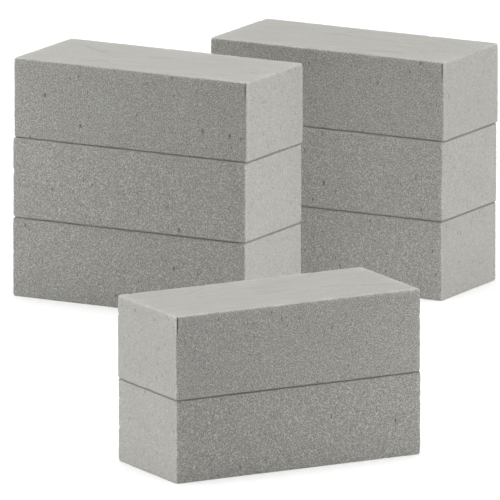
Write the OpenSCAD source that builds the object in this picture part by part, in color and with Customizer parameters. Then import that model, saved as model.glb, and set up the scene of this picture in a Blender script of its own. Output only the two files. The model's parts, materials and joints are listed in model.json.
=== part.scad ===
// Loose dry floral foam bricks, set out in three stacks: two tall stacks at the back, side by side and
// staggered, and a low one in front, turned the other way. Every brick is a separate block that lifts off.
//
// Millimetres, +Z up. The bricks stand on z = 0, and the origin is at the middle of the set's base.
// A brick's own X runs along its length and its own Y across its width.

/* [Brick] */
// Length of a brick
brick_length = 230; // [200:1:260]
// Width of a brick
brick_width = 100; // [80:1:120]
// Height of a brick as it lies
brick_height = 70; // [55:1:90]
// Width of the broken edge all round a brick
edge_break = 1.2; // [0.5:0.1:4]

/* [Corner nick] */
// Length of the knife nick in the top brick of a stack, from its top edge down
nick_length = 11; // [4:1:30]
// Width of the nick
nick_width = 1.3; // [0.6:0.1:3]
// How deep the nick goes into the brick
nick_depth = 2.5; // [1:0.1:5]

/* [Layout] */
// How far each stack is turned from square, one way at the back and the other way in front
stack_turn = 29; // [0:1:45]
// Clear gap between the long faces of the two back stacks
rear_gap = 60; // [10:1:120]
// How far the right back stack is moved along its length, towards the front right
rear_stagger = 105; // [0:1:150]
// How far the front stack's middle is in front of the left back stack's middle
front_reach = 620; // [320:5:800]
// How far the front stack's middle is to the right of the left back stack's middle
front_shift = 96; // [0:1:200]
// How far a brick may sit off the one below it, along and across
slip = 1; // [0:0.1:3]

/* [Colour] */
// Colour of the foam
foam_colour = "darkgray"; // [darkgray, silver, gray, darkseagreen]

/* [Hidden] */

// A small overlap, so that a cut runs clear of the face that it starts from
clear = 1;
// Bricks rest on their highest grains, so their flat faces stay this far apart.
seat_gap = 0.05;

// A stack is [middle x, middle y, turn, number of bricks], seen from the left back stack's middle.
rear_step_across = brick_width + rear_gap;
rear_left = [0, 0, -stack_turn, 3];
rear_right = [
    rear_step_across * sin(stack_turn) + rear_stagger * cos(stack_turn),
    rear_step_across * cos(stack_turn) - rear_stagger * sin(stack_turn),
    -stack_turn, 3
];
front = [front_shift, -front_reach, stack_turn, 2];

// How each level sits on its stack's middle, in slips: [along, across]. Nobody stacks bricks exactly.
// The front stack is the back ones' mirror image, so its bricks slip the other way along.
level_slips = [[-0.5, 0.3], [0.4, -0.6], [1, 0.5]];

// The outline of a flat rectangle with its corners broken, about its own middle
function broken_rectangle(length, width, cut) = [
    for (corner = [[1, 1], [-1, 1], [-1, -1], [1, -1]])
        let (
            on_end = [corner[0] * length / 2, corner[1] * (width / 2 - cut)],
            on_side = [corner[0] * (length / 2 - cut), corner[1] * width / 2]
        )
        each corner[0] * corner[1] > 0 ? [on_end, on_side] : [on_side, on_end]
];

function turned(point, angle) = [
    point[0] * cos(angle) - point[1] * sin(angle),
    point[0] * sin(angle) + point[1] * cos(angle)
];

// How far a brick sits off its stack's middle, along and across
function slipped(stack, level) =
    slip * [stack == front ? -level_slips[level][0] : level_slips[level][0], level_slips[level][1]];

// Where a point of a brick's plan comes to lie at one level of a stack
function placed(point, stack, level) =
    [stack[0], stack[1]] + turned(point + slipped(stack, level), stack[2]);

// The middle of the whole set in plan, from the outlines of all its bricks
plan = [
    for (stack = [rear_left, rear_right, front])
        for (level = [0 : stack[3] - 1])
            for (point = broken_rectangle(brick_length, brick_width, edge_break))
                placed(point, stack, level)
];
plan_x = [for (point = plan) point[0]];
plan_y = [for (point = plan) point[1]];
set_middle = [(min(plan_x) + max(plan_x)) / 2, (min(plan_y) + max(plan_y)) / 2];

// One brick, standing on z = 0 about its own middle, with all twelve edges broken
module brick() {
    intersection() {
        linear_extrude(brick_height)
            polygon(broken_rectangle(brick_length, brick_width, edge_break));
        translate([0, brick_width / 2, brick_height / 2])
            rotate([90, 0, 0])
                linear_extrude(brick_width)
                    polygon(broken_rectangle(brick_length, brick_height, edge_break));
        translate([-brick_length / 2, 0, brick_height / 2])
            rotate([90, 0, 90])
                linear_extrude(brick_length)
                    polygon(broken_rectangle(brick_width, brick_height, edge_break));
    }
}

// A brick with a nick down the front long face beside the corner at its end `side`, 1 or -1
module nicked_brick(side) {
    nick_middle = side * (brick_length / 2 - edge_break - nick_width / 2);
    difference() {
        brick();
        translate([nick_middle - nick_width / 2, -brick_width / 2 - clear, brick_height - nick_length])
            cube([nick_width, nick_depth + clear, nick_length + clear]);
    }
}

// Puts a brick in its place at one level of a stack
module stacked(stack, level) {
    middle = placed([0, 0], stack, level) - set_middle;
    translate([middle[0], middle[1], level * (brick_height + seat_gap)])
        rotate(stack[2])
            children();
}

module front_bottom_brick() {
    color(foam_colour) stacked(front, 0) brick();
}

module front_top_brick() {
    color(foam_colour) stacked(front, 1) nicked_brick(-1);
}

module rear_left_bottom_brick() {
    color(foam_colour) stacked(rear_left, 0) brick();
}

module rear_left_middle_brick() {
    color(foam_colour) stacked(rear_left, 1) brick();
}

module rear_left_top_brick() {
    color(foam_colour) stacked(rear_left, 2) nicked_brick(1);
}

module rear_right_bottom_brick() {
    color(foam_colour) stacked(rear_right, 0) brick();
}

module rear_right_middle_brick() {
    color(foam_colour) stacked(rear_right, 1) brick();
}

module rear_right_top_brick() {
    color(foam_colour) stacked(rear_right, 2) nicked_brick(1);
}

front_bottom_brick();
front_top_brick();
rear_left_bottom_brick();
rear_left_middle_brick();
rear_left_top_brick();
rear_right_bottom_brick();
rear_right_middle_brick();
rear_right_top_brick();
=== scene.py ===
"""The looks of the floral foam brick set: every CAD brick is replaced by a worn, grainy block of foam.

Lengths are in metres, in the CAD model's frame: +Z up, the front stack towards -Y. A brick's own axes are
its length, width and height, about its own middle.
"""

import json
import math

import bpy
import numpy as np
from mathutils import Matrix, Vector

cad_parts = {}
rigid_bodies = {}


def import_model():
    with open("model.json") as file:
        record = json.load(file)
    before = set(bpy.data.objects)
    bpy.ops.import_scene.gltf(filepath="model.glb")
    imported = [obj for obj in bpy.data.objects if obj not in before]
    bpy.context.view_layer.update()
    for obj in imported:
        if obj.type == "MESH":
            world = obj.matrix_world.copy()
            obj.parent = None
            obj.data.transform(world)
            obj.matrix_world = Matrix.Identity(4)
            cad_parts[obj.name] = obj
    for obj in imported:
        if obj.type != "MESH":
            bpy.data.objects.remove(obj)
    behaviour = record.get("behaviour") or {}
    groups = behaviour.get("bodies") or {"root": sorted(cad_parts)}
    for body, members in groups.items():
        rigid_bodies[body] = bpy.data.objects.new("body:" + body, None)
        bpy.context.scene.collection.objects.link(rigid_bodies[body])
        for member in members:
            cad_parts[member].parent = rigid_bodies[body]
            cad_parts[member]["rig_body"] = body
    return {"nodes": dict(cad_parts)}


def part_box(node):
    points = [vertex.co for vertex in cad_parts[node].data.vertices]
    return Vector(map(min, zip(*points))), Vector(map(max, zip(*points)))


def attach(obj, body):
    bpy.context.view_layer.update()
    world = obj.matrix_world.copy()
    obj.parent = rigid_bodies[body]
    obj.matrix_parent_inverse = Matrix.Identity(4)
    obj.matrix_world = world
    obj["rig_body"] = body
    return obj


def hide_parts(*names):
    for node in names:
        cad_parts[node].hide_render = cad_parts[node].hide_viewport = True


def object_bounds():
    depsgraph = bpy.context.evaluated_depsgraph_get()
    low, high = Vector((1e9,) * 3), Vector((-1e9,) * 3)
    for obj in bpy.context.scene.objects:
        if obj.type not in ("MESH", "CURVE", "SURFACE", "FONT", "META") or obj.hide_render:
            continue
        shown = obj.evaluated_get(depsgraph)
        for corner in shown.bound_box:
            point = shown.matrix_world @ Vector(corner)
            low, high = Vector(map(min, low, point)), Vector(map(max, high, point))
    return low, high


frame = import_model()
cad_low, cad_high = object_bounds()

MM = 0.001

# ---------------------------------------------------------------- camera and view

CAMERA_PITCH = math.radians(12)
CAMERA_DISTANCE = 12.92
CAMERA_LENS = 1100  # a very long lens, so that the stacks look the same size
SENSOR_WIDTH = 36
NEAR_CLIP = 1
FAR_CLIP = 60
AIM_OFFSET = Vector((-0.005, 0, -0.0055))


def make_camera():
    """Looks straight along +Y and down on the middle of the set."""
    middle = (cad_low + cad_high) / 2
    back = Vector((0, -math.cos(CAMERA_PITCH), math.sin(CAMERA_PITCH)))
    data = bpy.data.cameras.new("camera")
    data.lens = CAMERA_LENS
    data.sensor_width = SENSOR_WIDTH
    data.clip_start = NEAR_CLIP
    data.clip_end = FAR_CLIP
    camera = bpy.data.objects.new("camera", data)
    camera.location = middle + AIM_OFFSET + back * CAMERA_DISTANCE
    camera.rotation_euler = (math.pi / 2 - CAMERA_PITCH, 0, 0)
    bpy.context.scene.collection.objects.link(camera)
    bpy.context.scene.camera = camera


# ---------------------------------------------------------------- node helpers


class Nodes:
    """A short way to build a material's node tree."""

    def __init__(self, material):
        material.use_nodes = True
        self.tree = material.node_tree
        self.tree.nodes.clear()

    def add(self, kind, inputs=None, **settings):
        """Adds a node, sets its properties, and links its inputs to sockets or sets them to values."""
        node = self.tree.nodes.new(kind)
        for name, value in settings.items():
            setattr(node, name, value)
        for name, value in (inputs or {}).items():
            if isinstance(value, bpy.types.NodeSocket):
                self.tree.links.new(value, node.inputs[name])
            else:
                node.inputs[name].default_value = value
        return node

    def math(self, operation, *values):
        """One Math node, whose inputs are sockets or numbers."""
        return self.add("ShaderNodeMath", dict(enumerate(values)), operation=operation).outputs[0]


# ---------------------------------------------------------------- foam material

# How coarse each side of a brick is. The long sides are sawn across the cells, the top along them.
COARSE_LONG = 1.0
COARSE_END = 0.55
COARSE_TOP = 0.28

FOAM_COLOUR = (0.389, 0.3835, 0.357)
# Painted shade in holes, the nick and the grooves between bricks takes this colour, and so does the darker
# wear of the rub marks
SHADE_AND_MARK_COLOUR = (0.075, 0.071, 0.06, 1)
DUST_COLOUR = (0.53, 0.52, 0.49, 1)

# The grain of the sawn sides: cells, crumbs between them, and small pores
CELL_SIZE = 0.5 * MM
FINE_SIZE = 0.3 * MM
PORE_SPACING = 1.1 * MM
CELL_TONE = 0.3
FINE_TONE = 0.45
PORE_TONE = 0.81

# What only the smooth faces show: streaks along the brick, the way it was cut, and the way the foam rose
STREAK_SIZE = 4 * MM
STREAK_STRETCH = 9
STREAK_TONE = 0.3
RISE_SIZE = 0.9 * MM
RISE_STRETCH = 9
RISE_TONE = 0.4

# Wide clouds of tone, and how much painted shade darkens a fully coarse face, such as a long side, against
# a smooth one
CLOUD_SIZE = 45 * MM
CLOUD_TONE = 0.05
COARSE_SIDE_SHADE = -0.24

# Larger holes, drawn out upwards, the way the foam rose, painted with shade inside
SPECK_SPACING = 5 * MM
SPECK_RADIUS = 0.65 * MM
SPECK_STRETCH = 2.4
SPECK_SHADE = 0.75
SLIT_SPACING = 4.5 * MM
SLIT_RADIUS = 0.6 * MM
SLIT_STRETCH = 4
SLIT_SHADE = 0.9
TOP_OPENNESS = 0.15  # how much of their painted shade is left on the top

# Dust lies on the crumbs whose random value is high enough
CRUMB_SIZE = 0.9 * MM
DUSTLESS_VALUE = 0.35
DUSTY_VALUE = 0.75
LEAST_DUST = 0.1

LEAST_ROUGHNESS = 0.86
SPECULAR_LEVEL = 0.15
BUMP_STRENGTH = 0.5
BUMP_DISTANCE = 0.3 * MM
GRAIN_BUMP = 0.6


def foam_material():
    """Dry phenolic foam: matt, with fine open cells, pale dust on the rubbed edges, and painted shade in
    its pores, its nick, the grooves between bricks and over its coarse sides.
    """
    material = bpy.data.materials.new("dry_foam")
    n = Nodes(material)

    def attribute(name):
        return n.add("ShaderNodeAttribute", attribute_name=name).outputs["Fac"]

    seed, pit, rub, coarse = (attribute(name) for name in ("seed", "pit", "rub", "coarse"))
    # Every brick is cut from its own place in the foam
    on_brick = n.add("ShaderNodeTexCoord").outputs["Object"]
    place = n.add("ShaderNodeVectorMath", {0: on_brick, 1: seed}).outputs["Vector"]

    def drawn_out(along=1, up=1):
        """The place on the brick, for a pattern that is drawn out along the brick or upwards."""
        inputs = {"Vector": place, "Scale": (1 / along, 1, 1 / up)}
        return n.add("ShaderNodeMapping", inputs).outputs["Vector"]

    def noise(vector, size, detail, roughness=0.5):
        """Smooth noise about 0."""
        inputs = {"Vector": vector, "Scale": 1 / size, "Detail": detail, "Roughness": roughness}
        return n.math("SUBTRACT", n.add("ShaderNodeTexNoise", inputs).outputs["Fac"], 0.5)

    def cells(vector, size):
        """Foam cells: how far each point is from its cell's middle, and a random value per cell."""
        node = n.add("ShaderNodeTexVoronoi", {"Vector": vector, "Scale": 1 / size})
        value = n.add("ShaderNodeSeparateColor", {"Color": node.outputs["Color"]})
        return node.outputs["Distance"], value.outputs["Red"]

    def remap(value, low, high, new_low=0.0, new_high=1.0, **settings):
        """Stretches the range from `low` to `high` over a new one, and stops at its ends."""
        inputs = {"Value": value, "From Min": low, "From Max": high, "To Min": new_low, "To Max": new_high}
        return n.add("ShaderNodeMapRange", inputs, **settings).outputs["Result"]

    def holes(vector, spacing, radius):
        """Scattered holes of up to one radius, each as deep as its own random value."""
        away, value = cells(vector, spacing)
        open_part = remap(away, radius / spacing, radius / spacing / 3, interpolation_type="SMOOTHSTEP")
        return n.math("MULTIPLY", open_part, value)

    def mixed(colour, factor, other):
        """Mixes another colour over one, by a factor from 0 to 1."""
        inputs = {"Factor": factor, "A": colour, "B": other}
        return n.add("ShaderNodeMix", inputs, data_type="RGBA").outputs["Result"]

    cell_value = cells(place, CELL_SIZE)[1]
    pore_away = cells(place, PORE_SPACING)[0]
    fine = noise(place, FINE_SIZE, detail=2, roughness=0.6)
    cloud = noise(place, CLOUD_SIZE, detail=3)
    streak = noise(drawn_out(along=STREAK_STRETCH), STREAK_SIZE, detail=3)
    rise = noise(drawn_out(up=RISE_STRETCH), RISE_SIZE, detail=2)
    specks = holes(drawn_out(up=SPECK_STRETCH), SPECK_SPACING, SPECK_RADIUS)
    slits = holes(drawn_out(up=SLIT_STRETCH), SLIT_SPACING, SLIT_RADIUS)

    # How pale each point is
    smoothness = n.math("SUBTRACT", 1.0, coarse)
    grain = n.math("MULTIPLY", n.math("SUBTRACT", cell_value, 0.5), CELL_TONE)
    grain = n.math("MULTIPLY_ADD", fine, FINE_TONE, grain)
    grain = n.math("MULTIPLY_ADD", n.math("SUBTRACT", pore_away, 0.5), PORE_TONE, grain)
    tone = n.math("MULTIPLY_ADD", cloud, CLOUD_TONE, 1.0)
    tone = n.math("MULTIPLY_ADD", grain, coarse, tone)
    tone = n.math("MULTIPLY_ADD", n.math("MULTIPLY", streak, smoothness), STREAK_TONE, tone)
    tone = n.math("MULTIPLY_ADD", n.math("MULTIPLY", rise, smoothness), RISE_TONE, tone)
    # Painted shade: the coarse faces, most of all the long sides, are made darker
    tone = n.math("MULTIPLY_ADD", n.math("MULTIPLY", coarse, coarse), COARSE_SIDE_SHADE, tone)
    shade = n.add("ShaderNodeVectorMath", {0: FOAM_COLOUR, "Scale": tone}, operation="SCALE")

    # Painted shade: specks, slits, the mesh's own pores and dimples, the nick and the grooves between
    # bricks are made dark inside. The rub marks are darkened too, as wear.
    openness = remap(coarse, COARSE_TOP, COARSE_END, TOP_OPENNESS, 1)
    speck_shade = n.math("MULTIPLY", specks, SPECK_SHADE)
    slit_shade = n.math("MULTIPLY", slits, SLIT_SHADE)
    speck_and_slit_shade = n.math("MULTIPLY", n.math("MAXIMUM", speck_shade, slit_shade), openness)
    hole = n.math("MAXIMUM", speck_and_slit_shade, pit)
    dark = mixed(shade.outputs["Vector"], hole, SHADE_AND_MARK_COLOUR)
    crumb = remap(cells(place, CRUMB_SIZE)[1], DUSTLESS_VALUE, DUSTY_VALUE, LEAST_DUST, 1)
    pale = mixed(dark, n.math("MULTIPLY", rub, crumb), DUST_COLOUR)

    relief = n.math("MULTIPLY_ADD", fine, GRAIN_BUMP, n.math("MULTIPLY", pore_away, GRAIN_BUMP))
    height = n.math("SUBTRACT", n.math("MULTIPLY", relief, coarse), hole)
    bump_inputs = {"Height": height, "Strength": BUMP_STRENGTH, "Distance": BUMP_DISTANCE}
    foam_inputs = {
        "Base Color": pale,
        "Roughness": remap(fine, -0.5, 0.5, LEAST_ROUGHNESS, 1),
        "Specular IOR Level": SPECULAR_LEVEL,
        "Normal": n.add("ShaderNodeBump", bump_inputs).outputs["Normal"],
    }
    foam = n.add("ShaderNodeBsdfPrincipled", foam_inputs)
    n.add("ShaderNodeOutputMaterial", {"Surface": foam.outputs["BSDF"]})
    return material


# ---------------------------------------------------------------- foam mesh

GRID = 1.07 * MM  # spacing of the mesh over a face
EDGE_STEPS = (0.0, 0.3 * MM, 0.65 * MM, 1.1 * MM, 1.7 * MM, 2.5 * MM)  # its lines beside an edge

# Random heights over a lattice are multiplied by this, so that their spread is near 1
FIELD_GAIN = 1.6

# Rounding of the edges and corners. The edges' radius changes from patch to patch.
EDGE_RADIUS = 1.2 * MM
EDGE_RADIUS_CHANGE = 0.2 * MM
EDGE_PATCH = 1.8 * MM
CORNER_RADIUS_EXTRA = 0.8 * MM
CORNER_REACH = 3.5 * MM

# The same where a level edge or its corner lies against another brick, which leaves a groove, and painted
# shade darkens that groove
COVERED_CORNER_EXTRA = 0.2 * MM
COVERED_RADIUS_EXTRA = 0.4 * MM
COVERED_REACH = 2 * MM
GROOVE_SHADE = 0.3

# Slow waves, grain and crumbling edges: how far each sinks the surface
WAVE_SIZE = 45 * MM
WAVE_DEPTH = 0.05 * MM
GRAIN_DEPTH = 0.02 * MM
CRUMBLE_DEPTH = 0.25 * MM

# Cut bubbles, drawn out upwards: large pores, and shallow dimples between them, painted with shade inside.
# A lattice is its spacing, its bubbles' usual radius and the share of its cells that have a bubble.
BUBBLE_STRETCH = (1, 1, 2)
BUBBLE_SIZES = (0.6, 1.25)  # smallest and largest, as a share of the usual radius
NO_BUBBLE = 1e-9  # the reach of a bubble that isn't there
PORE_LATTICE = (8 * MM, 1.0 * MM, 0.35)
PORE_DEPTH = 0.7 * MM
PORE_SHADE = 0.75
PORE_SPREAD = 1.6  # how soon a pore's painted shade is full, from its rim inwards
DIMPLE_LATTICE = (4 * MM, 0.9 * MM, 0.2)
DIMPLE_DEPTH = 0.15 * MM
DIMPLE_SHADE = 0.15
DIMPLE_SPREAD = 1.4

# Rub marks on the top face
MARK_COUNT = 9
MARK_TURN = 0.5  # spread of their angles from the brick's length, in radians
MARK_LENGTHS = (8 * MM, 38 * MM)
MARK_WIDTHS = (1.2 * MM, 2.6 * MM)
MARK_STRENGTHS = (0.4, 1)
MARK_DEPTH = 0.12 * MM
MARK_DARKNESS = 0.2

# Crumbs broken from the edges
CHIP_COUNT = 14
CHIP_CHANCES = (0.6, 0.2, 0.2)  # that a chip is on an edge along the length, the width or the height
CHIP_RADII = (1.2 * MM, 2.8 * MM)
CHIP_SLOPE = 0.4

# How much dust lies on the edges, and how far it reaches from them
RUBBED_UPPER = 0.8  # the upper edges of a top brick
RUBBED_UPRIGHT = 0.65
RUBBED_COVERED = 0.2
RUB_PATCH = 12 * MM  # an edge is rubbed more or less in patches of this size
RUB_USUAL = 0.65
RUB_CHANGE = 0.3
RUB_LIMITS = (0.15, 1.3)
RUB_REACH = 1.5 * MM  # down a side
TOP_RUB_REACH = 6 * MM  # over the top
CORNER_RUB_REACH = 7 * MM

# The knife nick
NICK_LENGTH = 11 * MM
NICK_DEPTH = 2.2 * MM
NICK_WIDTH = 1.3 * MM
NICK_INSET = 1.85 * MM  # from the brick's end to the middle of the nick
NICK_FLOOR = 0.8  # the width of the nick's floor, as a share of its mouth
SCRATCH_DEPTH = 0.1  # of the scratch below the nick, as a share of the nick's depth

SEED_STEP = 0.37  # how far apart in the foam's pattern the bricks are cut


def grid_lines(length, extra):
    """Where the mesh lines cross a brick: close beside its edges, even between them, and at `extra`."""
    first = EDGE_STEPS[-1]
    count = round((length - 2 * first) / GRID)
    inner = np.linspace(first, length - first, count + 1)
    lines = np.concatenate([EDGE_STEPS[:-1], inner, length - np.array(EDGE_STEPS[-2::-1])])
    return np.sort(np.concatenate([lines - length / 2, extra]))


def block_mesh(size, extra):
    """The points and four-sided faces of a closed block, on a grid over all six sides.

    The sides share the points on their edges. `extra` is where more grid lines cross the block's length.
    """
    lines = [grid_lines(length, more) for length, more in zip(size, (extra, (), ()))]
    counts = [len(line) for line in lines]
    index = np.indices(counts)
    last = np.array(counts).reshape(3, 1, 1, 1) - 1
    shell = ((index == 0) | (index == last)).any(axis=0)
    number = np.full(counts, -1)
    number[shell] = np.arange(shell.sum())
    cells = index[:, shell]
    points = np.stack([lines[axis][cells[axis]] for axis in range(3)], axis=1)

    faces = []
    for axis in range(3):
        for end in (0, -1):
            sheet = np.take(number, end, axis=axis)
            ring = [sheet[:-1, :-1], sheet[1:, :-1], sheet[1:, 1:], sheet[:-1, 1:]]
            # Which way round a face looks out depends on its axis and its end
            if (end == -1) == (axis == 1):
                ring.reverse()
            faces.append(np.stack([corner.ravel() for corner in ring], axis=1))
    return points, np.concatenate(faces)


def smooth(t):
    """Eases from 0 to 1."""
    return t * t * (3 - 2 * t)


def field(points, spacing, draw):
    """Smooth random heights about 0, with a spread near 1, over a lattice of random values."""
    spacing = np.broadcast_to(spacing, 3)
    low = points.min(axis=0)
    place = (points - low) / spacing + draw.random(3)
    whole = place.astype(int)
    part = smooth(place - whole)
    lattice = draw.normal(size=whole.max(axis=0) + 2)
    total = np.zeros(len(points))
    for dx in (0, 1):
        for dy in (0, 1):
            for dz in (0, 1):
                share = (
                    np.where(dx, part[:, 0], 1 - part[:, 0])
                    * np.where(dy, part[:, 1], 1 - part[:, 1])
                    * np.where(dz, part[:, 2], 1 - part[:, 2])
                )
                total += share * lattice[whole[:, 0] + dx, whole[:, 1] + dy, whole[:, 2] + dz]
    return total * FIELD_GAIN


def bubbles(points, spacing, radius, chance, stretch, draw):
    """How deep each point lies in a scatter of cut bubbles: 0 outside them, 1 at a bubble's middle.

    There is a bubble in a share `chance` of the cells of a lattice, each drawn out by `stretch`.
    """
    place = points / (spacing * np.array(stretch))
    low = np.floor(place.min(axis=0)).astype(int) - 1
    whole = np.floor(place).astype(int)
    shape = np.floor(place.max(axis=0)).astype(int) - low + 2
    centre = draw.random((*shape, 3))
    reach = radius / spacing * draw.uniform(*BUBBLE_SIZES, shape)
    reach[draw.random(shape) > chance] = NO_BUBBLE
    depth = np.zeros(len(points))
    for step in np.ndindex(3, 3, 3):
        cell = whole + np.array(step) - 1
        at = tuple((cell - low).T)
        away = np.linalg.norm(place - (cell + centre[at]), axis=1)
        depth = np.maximum(depth, 1 - (away / reach[at]) ** 2)
    return depth


def distances(points, half):
    """Each point's distances to the nearest edge and corner, and to the nearer of top and bottom."""
    inside = half - np.abs(points)
    return np.sort(inside, axis=1)[:, 1], np.linalg.norm(inside, axis=1), inside[:, 2]


def edge_radii(points, half, covered, draw):
    """How round an edge is at each point. `covered` is where edges may lie against another brick."""
    _, to_corner, to_level = distances(points, half)
    radius = EDGE_RADIUS + EDGE_RADIUS_CHANGE * np.clip(field(points, EDGE_PATCH, draw), -1.5, 2)
    corner_extra = np.where(covered, COVERED_CORNER_EXTRA, CORNER_RADIUS_EXTRA)
    radius += corner_extra * np.exp(-((to_corner / CORNER_REACH) ** 2))
    return radius + COVERED_RADIUS_EXTRA * covered * np.exp(-((to_level / COVERED_REACH) ** 2))


def block_normals(points, half, radius):
    """The middles of curvature and the normals of a block's points, once its edges are rounded."""
    inner = np.clip(points, radius[:, None] - half, half - radius[:, None])
    out = points - inner
    return inner, out / np.linalg.norm(out, axis=1)[:, None]


def scratches(points, normals, half, draw):
    """Depth from 0 to 1 in a few straight, shallow rub marks on the top face."""
    depth = np.zeros(len(points))
    on_top = normals[:, 2] > 0.9
    flat = points[on_top][:, :2]
    found = np.zeros(len(flat))
    for _ in range(MARK_COUNT):
        start = draw.uniform(-half[:2], half[:2])
        angle = draw.normal(0, MARK_TURN)
        along = np.array([math.cos(angle), math.sin(angle)])
        length = draw.uniform(*MARK_LENGTHS)
        width = draw.uniform(*MARK_WIDTHS)
        t = np.clip((flat - start) @ along, 0, length)
        away = np.linalg.norm(flat - start - t[:, None] * along, axis=1)
        found = np.maximum(found, (1 - away / width) * draw.uniform(*MARK_STRENGTHS))
    depth[on_top] = np.maximum(found, 0)
    return depth


def chips(points, half, draw):
    """How far each point is pushed in where crumbs have broken from the edges."""
    depth = np.zeros(len(points))
    for _ in range(CHIP_COUNT):
        centre = half * draw.choice([-1, 1], 3)
        axis = draw.choice(3, p=CHIP_CHANCES)
        centre[axis] = draw.uniform(-half[axis], half[axis])
        radius = draw.uniform(*CHIP_RADII)
        away = np.linalg.norm(points - centre, axis=1)
        depth = np.maximum(depth, (radius - away) * CHIP_SLOPE)
    return depth


def relief(points, normals, half, covered, draw):
    """How far each point is sunk, how dark it is painted, and how coarse it is: the darkness is painted
    shade in pores, dimples and the grooves between bricks, and the darker wear of rub marks.
    """
    sides = normals**2
    upright = sides[:, 0] + sides[:, 1]
    upright_edge = 4 * sides[:, 0] * sides[:, 1]
    level_edge = 4 * upright * sides[:, 2]
    coarse = sides @ np.array([COARSE_END, COARSE_LONG, COARSE_TOP])
    grain = np.clip(draw.normal(size=len(points)), -2, 2)
    wave = field(points, WAVE_SIZE, draw)
    pores = bubbles(points, *PORE_LATTICE, BUBBLE_STRETCH, draw)
    dimples = bubbles(points, *DIMPLE_LATTICE, BUBBLE_STRETCH, draw)
    marks = scratches(points, normals, half, draw)

    # Waves and grain are moved in, so that they never raise the surface
    sunk = WAVE_DEPTH * np.clip(wave + 1.5, 0, 3) + GRAIN_DEPTH * coarse * (grain + 2)
    sunk += (PORE_DEPTH * pores + DIMPLE_DEPTH * dimples) * upright + MARK_DEPTH * marks
    sunk += chips(points, half, draw)
    sunk += CRUMBLE_DEPTH * np.clip(upright_edge + level_edge, 0, 1) * draw.random(len(points))

    pore_shade = PORE_SHADE * np.clip(pores * PORE_SPREAD, 0, 1)
    dimple_shade = DIMPLE_SHADE * np.clip(dimples * DIMPLE_SPREAD, 0, 1)
    pit = np.maximum((pore_shade + dimple_shade) * coarse * upright, MARK_DARKNESS * marks)
    # The groove where a level edge lies against another brick gets painted shade as well
    return sunk, np.maximum(pit, GROOVE_SHADE * covered * level_edge), coarse


def dust(points, normals, half, open_top, draw):
    """How much dust lies on each point. `open_top` is the upper half of a brick that none lies on.

    Open upper edges and corners are rubbed most, and edges on another brick or on the table least.
    """
    to_edge, to_corner, to_level = distances(points, half)
    rubbed = np.where(to_level < to_edge + EDGE_RADIUS, RUBBED_COVERED, RUBBED_UPRIGHT)
    rubbed = np.where(open_top, RUBBED_UPPER, rubbed)
    patchy = np.clip(RUB_USUAL + RUB_CHANGE * field(points, RUB_PATCH, draw), *RUB_LIMITS)
    patchy += np.exp(-((to_corner / CORNER_RUB_REACH) ** 2))
    reach = RUB_REACH + (TOP_RUB_REACH - RUB_REACH) * normals[:, 2] ** 8
    return np.clip(rubbed * patchy, 0, 1) * np.exp(-to_edge / reach)


def nick_depth(points, half, middle):
    """How deep each point lies in the nick, from 0 to 1: a narrow cut from the top down the front side.

    It runs out over its last millimetre, and a faint scratch goes on below it.
    """
    inside = np.abs(points[:, 0] - middle) < NICK_WIDTH * (1 + NICK_FLOOR) / 4
    front = points[:, 1] < -half[1] + NICK_DEPTH / 2
    down = half[2] - points[:, 2]
    cut = np.clip((NICK_LENGTH - down) / MM, 0, 1)
    scratch = np.clip(2 - down / NICK_LENGTH, 0, 1)
    return ((1 - SCRATCH_DEPTH) * cut + SCRATCH_DEPTH * scratch) * inside * front


def make_mesh(name, points, faces, **point_values):
    """A smooth mesh that carries a number per point under each name in `point_values`."""
    mesh = bpy.data.meshes.new(name)
    mesh.from_pydata(points.tolist(), [], faces.tolist())
    for label, values in point_values.items():
        layer = mesh.attributes.new(label, "FLOAT", "POINT")
        layer.data.foreach_set("value", values.astype(np.float32))
    mesh.shade_smooth()
    return mesh


def foam_block(name, size, seed, nick_end, level):
    """One brick's mesh, with its grain, pores and worn edges.

    `nick_end` is the end that has the knife nick, 1 or -1, or 0 for none. `level` is the brick's place in
    its stack: bottom, middle or top. Edges that lie against another brick are worn in another way.
    """
    draw = np.random.default_rng(seed)
    half = np.array(size) / 2
    nick_middle = nick_end * (half[0] - NICK_INSET)
    nick_walls = NICK_WIDTH / 2 * np.array([-1, -NICK_FLOOR, NICK_FLOOR, 1])
    nick_lines = nick_middle + nick_walls if nick_end else ()
    points, faces = block_mesh(size, nick_lines)

    upper = points[:, 2] > 0
    covered = np.where(upper, level != "top", level != "bottom")
    radius = edge_radii(points, half, covered, draw)
    inner, normals = block_normals(points, half, radius)
    sunk, pit, coarse = relief(points, normals, half, covered, draw)
    rub = dust(points, normals, half, upper & (level == "top"), draw)
    if nick_end:
        # The nick is painted with shade almost from its mouth, and holds no dust
        nick = nick_depth(points, half, nick_middle)
        sunk += NICK_DEPTH * nick
        pit = np.maximum(pit, nick**0.5)
        rub = rub * (1 - nick**0.25)

    worn = inner + normals * (radius - sunk)[:, None]
    own_seed = np.full(len(points), seed * SEED_STEP)
    return make_mesh(name, worn, faces, pit=np.clip(pit, 0, 1), rub=rub, coarse=coarse, seed=own_seed)


# ---------------------------------------------------------------- bricks

# The end of each stack that is nearest to the camera, along its bricks' own X.
# The top brick is nicked there.
NEAR_END = {"front": -1, "rear_left": 1, "rear_right": 1}


def brick_place(node):
    """A CAD brick's middle, turn about Z and size, from its own mesh."""
    low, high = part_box(node.name)
    middle = (low + high) / 2
    points = np.array([v.co for v in node.data.vertices])
    # The lower half has no nick, so its points lie evenly about the brick's own axes
    plan = np.unique(np.round(points[points[:, 2] < middle.z], 5), axis=0)[:, :2]
    plan = np.unique(plan, axis=0) - np.array(middle)[:2]
    along = np.linalg.eigh(plan.T @ plan)[1][:, -1]
    along = along * np.sign(along[0])
    across = np.array([-along[1], along[0]])
    size = (np.ptp(plan @ along), np.ptp(plan @ across), high.z - low.z)
    return middle, math.atan2(along[1], along[0]), size


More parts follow.
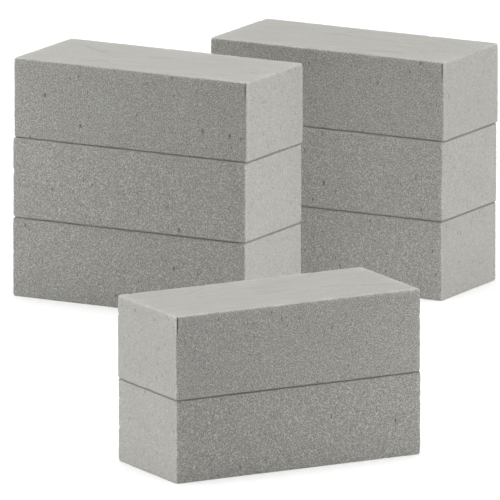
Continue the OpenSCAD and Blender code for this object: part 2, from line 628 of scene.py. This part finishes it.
def make_bricks():
    """Makes every brick, and gives them by stack, as {stack's name: bricks}."""
    foam = foam_material()
    stacks = {}
    for seed, (name, node) in enumerate(sorted(frame["nodes"].items()), start=1):
        middle, turn, size = brick_place(node)
        stack, level = name.removesuffix("_brick").rsplit("_", 1)
        nick_end = NEAR_END[stack] if level == "top" else 0
        mesh = foam_block(f"{name}_mesh", size, seed, nick_end, level)
        mesh.materials.append(foam)
        piece = bpy.data.objects.new(name.replace("_brick", "_foam"), mesh)
        piece.location = middle
        piece.rotation_euler = (0, 0, turn)
        bpy.context.scene.collection.objects.link(piece)
        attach(piece, node["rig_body"])
        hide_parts(name)
        stacks.setdefault(stack, []).append(piece)
    return stacks


# ---------------------------------------------------------------- floor and light

FLOOR_SIZE = 40
FLOOR_COLOUR = (0.95, 0.95, 0.95, 1)
SKY_STRENGTH = 0.12
TOP_STRENGTH = 2.97
FLOOR_STRENGTH = 0.68
END_STRENGTH = 1.58
FAR_END_STRENGTH = 0.5
SHADED_END_STRENGTH = 1.8
SHADED_BACK_STRENGTH = 0.45
SHADED_FRONT_STRENGTH = 0.3
END_ELEVATION = math.radians(20)
SIDE_ELEVATION = math.radians(5)
TOP_SOFTNESS = math.radians(60)
LEVEL_SOFTNESS = math.radians(40)

# The back stacks stand in each other's shade, so the sides that they turn to each other have lights of
# their own. A stack's far end, as seen from the front, has its lamp as well and needs less. Every level
# light is given as its direction, from the brick's own +X, its elevation and its strength.
NEAR_RIGHT_END = (0, END_ELEVATION, END_STRENGTH)
NEAR_LEFT_END = (math.pi, END_ELEVATION, END_STRENGTH)
FAR_RIGHT_END = (0, END_ELEVATION, FAR_END_STRENGTH)
FAR_LEFT_END = (math.pi, END_ELEVATION, FAR_END_STRENGTH)
SHADED_RIGHT_END = (0, END_ELEVATION, SHADED_END_STRENGTH)
SHADED_BACK = (math.pi / 2, SIDE_ELEVATION, SHADED_BACK_STRENGTH)
SHADED_FRONT = (-math.pi / 2, SIDE_ELEVATION, SHADED_FRONT_STRENGTH)
LEVEL_LIGHTS = {
    "front": (NEAR_LEFT_END, FAR_RIGHT_END),
    "rear_left": (SHADED_RIGHT_END, FAR_LEFT_END, SHADED_BACK),
    "rear_right": (NEAR_RIGHT_END, FAR_LEFT_END, SHADED_FRONT),
}

# Every front long side is palest at its far end, where the stack has a lamp
LAMP_POWER = {"front": 0.52, "rear_left": 0.58, "rear_right": 0.8}
LAMP_SIZE = 0.2
LAMP_PAST_END = 0.25
LAMP_OUT = 0.2


def make_floor():
    """A plain white floor, which isn't part of the object."""
    mesh = bpy.data.meshes.new("floor")
    half = FLOOR_SIZE / 2
    corners = [(-half, -half, 0), (half, -half, 0), (half, half, 0), (-half, half, 0)]
    mesh.from_pydata(corners, [], [(0, 1, 2, 3)])
    material = bpy.data.materials.new("floor")
    n = Nodes(material)
    plain = n.add("ShaderNodeBsdfDiffuse", {"Color": FLOOR_COLOUR})
    n.add("ShaderNodeOutputMaterial", {"Surface": plain.outputs["BSDF"]})
    mesh.materials.append(material)
    floor = bpy.data.objects.new("floor", mesh)
    bpy.context.scene.collection.objects.link(floor)
    return floor


def add_light(name, kind, power, lit=()):
    """Adds a light. It lights, and is shaded by, only what is in `lit`, if given."""
    data = bpy.data.lights.new(name, kind)
    data.energy = power
    light = bpy.data.objects.new(name, data)
    bpy.context.scene.collection.objects.link(light)
    if lit:
        group = bpy.data.collections.new(name)
        for piece in lit:
            group.objects.link(piece)
        light.light_linking.receiver_collection = group
        light.light_linking.blocker_collection = group
    return light


def make_sun(name, strength, towards, softness, lit=()):
    """A soft, even light from the direction `towards`."""
    light = add_light(name, "SUN", strength, lit)
    light.data.angle = softness
    light.rotation_euler = Vector(towards).to_track_quat("Z", "Y").to_euler()


def make_lamp(stack, bricks):
    """A small soft lamp past the far end of a stack's front long side, level with its top brick's foot.

    It moves with the stack.
    """
    bottom = bricks[0]
    half = bottom.dimensions / 2
    lamp = add_light(f"{stack}_lamp", "AREA", LAMP_POWER[stack], bricks)
    lamp.data.size = LAMP_SIZE
    along = -NEAR_END[stack] * (half.x + LAMP_PAST_END)
    lamp.location = (along, -half.y - LAMP_OUT, half.z * (2 * len(bricks) - 3))
    lamp.rotation_euler = lamp.location.to_track_quat("Z", "Y").to_euler()
    lamp.parent = bottom


def make_light(floor, stacks):
    """Even light from above and all round, and level lights on every stack, whichever way it is turned."""
    scene = bpy.context.scene
    world = bpy.data.worlds.new("studio")
    scene.world = world
    world.use_nodes = True
    sky = world.node_tree.nodes["Background"]
    sky.inputs["Color"].default_value = (1, 1, 1, 1)
    sky.inputs["Strength"].default_value = SKY_STRENGTH
    make_sun("top", TOP_STRENGTH, (0, 0, 1), TOP_SOFTNESS)
    make_sun("sweep", FLOOR_STRENGTH, (0, 0, 1), TOP_SOFTNESS, [floor])
    for stack, bricks in stacks.items():
        turn = bricks[0].rotation_euler.z
        for number, (direction, elevation, strength) in enumerate(LEVEL_LIGHTS[stack], start=1):
            angle = turn + direction
            level = math.cos(elevation)
            towards = (level * math.cos(angle), level * math.sin(angle), math.sin(elevation))
            make_sun(f"{stack}_light_{number}", strength, towards, LEVEL_SOFTNESS, bricks)
        make_lamp(stack, bricks)
    scene.view_settings.view_transform = "Standard"


make_camera()
bricks_by_stack = make_bricks()
make_light(make_floor(), bricks_by_stack)
